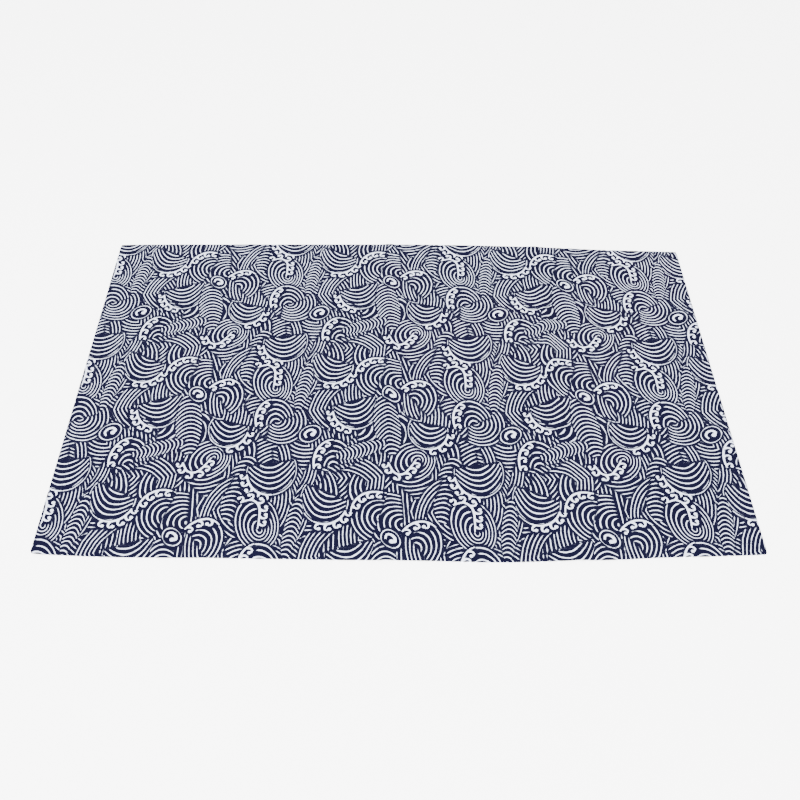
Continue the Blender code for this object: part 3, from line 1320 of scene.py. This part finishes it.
class NAPKIN_OT_add_stitches(bpy.types.Operator):
    """Adds the row of stitches that holds the hem down"""

    bl_idname = "napkin.add_hem_stitches"
    bl_label = "Add Hem Stitches"

    def execute(self, context):
        cloth, stitches = context.scene.napkin_cloth, context.scene.napkin_stitches
        if stitches.inset >= cloth.hem_wide:
            raise ValueError("Seam inset has to be less than the hem's width")
        path = link("hem seam", seam_mesh(Lie(cloth), stitches))
        thread = thread_material()
        sewing = path.modifiers.new("stitches", "NODES")
        sewing.node_group = stitch_group(thread)
        values = {
            "Stitch Length": stitches.length,
            "Thread Radius": stitches.radius,
            "Seed": stitches.seed,
        }
        for socket in sewing.node_group.interface.items_tree:
            if socket.name in values:
                sewing[socket.identifier] = values[socket.name]
        seen = path.evaluated_get(context.evaluated_depsgraph_get())
        mesh = bpy.data.meshes.new_from_object(seen)
        mesh.name = STITCHES
        mesh.materials.clear()
        mesh.materials.append(thread)
        mesh.polygons.foreach_set("material_index", np.zeros(len(mesh.polygons), np.int32))
        path.modifiers.remove(sewing)
        bpy.data.objects.remove(path)
        piece = link(STITCHES, mesh)
        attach(piece, "root")
        return {"FINISHED"}


class NAPKIN_OT_add_cloth(bpy.types.Operator):
    """Adds the printed cloth over its CAD solid"""

    bl_idname = "napkin.add_cloth"
    bl_label = "Add Printed Cloth"

    def execute(self, context):
        cloth, layout = context.scene.napkin_cloth, context.scene.napkin_print
        if cloth.hem_top <= cloth.rest_gap + 2 * cloth.fold_round:
            raise ValueError("Hem height has to be more than the gap and the folds below it")
        mesh, lie = make_cloth(cloth, layout)
        mesh.materials.append(printed_material(cloth, layout))
        mesh.materials.append(reverse_material(cloth))
        piece = link(CLOTH, mesh)
        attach(piece, "root")
        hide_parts(SOLID)
        return {"FINISHED"}


class NAPKIN_OT_add_stage(bpy.types.Operator):
    """Adds the floor, the lights and the camera"""

    bl_idname = "napkin.add_stage"
    bl_label = "Add Stage"

    def execute(self, context):
        stage = context.scene.napkin_stage
        mesh = bpy.data.meshes.new("floor")
        half = 6.0
        ways = ((-1, -1), (1, -1), (1, 1), (-1, 1))
        corners = [(x * half, y * half, 0) for x, y in ways]
        mesh.from_pydata(corners, [], [(0, 1, 2, 3)])
        mesh.materials.append(floor_material())
        link("floor", mesh)

        light = bpy.data.lights.new("soft light", "AREA")
        light.shape = "RECTANGLE"
        light.size, light.size_y = 1.6, 1.2
        light.energy = stage.key_power
        lamp = link("soft light", light)
        lamp.location = (-0.25, -0.6, 1.15)
        lamp.rotation_euler = (-lamp.location).to_track_quat("-Z", "Y").to_euler()

        world = bpy.data.worlds.new("even light")
        world.use_nodes = True
        background = world.node_tree.nodes["Background"]
        background.inputs["Color"].default_value = (1.0, 1.0, 1.0, 1.0)
        background.inputs["Strength"].default_value = stage.sky
        context.scene.world = world

        camera = bpy.data.cameras.new("camera")
        camera.lens = stage.lens
        camera.sensor_width = 36.0
        eye = link("camera", camera)
        eye.location = stage.camera_place
        eye.rotation_euler = (stage.tilt, 0.0, 0.0)
        context.scene.camera = eye
        return {"FINISHED"}


# The settings kept on the scene, and the button below each in the panel
SETTINGS = (
    ("napkin_cloth", ClothSettings, "napkin.add_cloth"),
    ("napkin_print", PrintSettings, None),
    ("napkin_stitches", StitchSettings, "napkin.add_hem_stitches"),
    ("napkin_stage", StageSettings, "napkin.add_stage"),
)


class NAPKIN_PT_panel(bpy.types.Panel):
    """Settings and buttons for the napkin"""

    bl_label = "Printed Napkin"
    bl_idname = "NAPKIN_PT_panel"
    bl_space_type = "VIEW_3D"
    bl_region_type = "UI"
    bl_category = "Napkin"

    def draw(self, context):
        for group, kind, button in SETTINGS:
            box = self.layout.box()
            for name in kind.__annotations__:
                box.prop(getattr(context.scene, group), name)
            if button:
                box.operator(button)


CLASSES = (
    ClothSettings,
    PrintSettings,
    StitchSettings,
    StageSettings,
    NAPKIN_OT_add_stitches,
    NAPKIN_OT_add_cloth,
    NAPKIN_OT_add_stage,
    NAPKIN_PT_panel,
)


def register():
    for kind in CLASSES:
        bpy.utils.register_class(kind)
    for group, kind, _ in SETTINGS:
        setattr(bpy.types.Scene, group, PointerProperty(type=kind))


def unregister():
    for group, _, _ in SETTINGS:
        delattr(bpy.types.Scene, group)
    for kind in reversed(CLASSES):
        bpy.utils.unregister_class(kind)


def main():
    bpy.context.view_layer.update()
    register()
    bpy.ops.napkin.add_hem_stitches()
    bpy.ops.napkin.add_cloth()
    bpy.ops.napkin.add_stage()


if __name__ == "__main__":
    main()
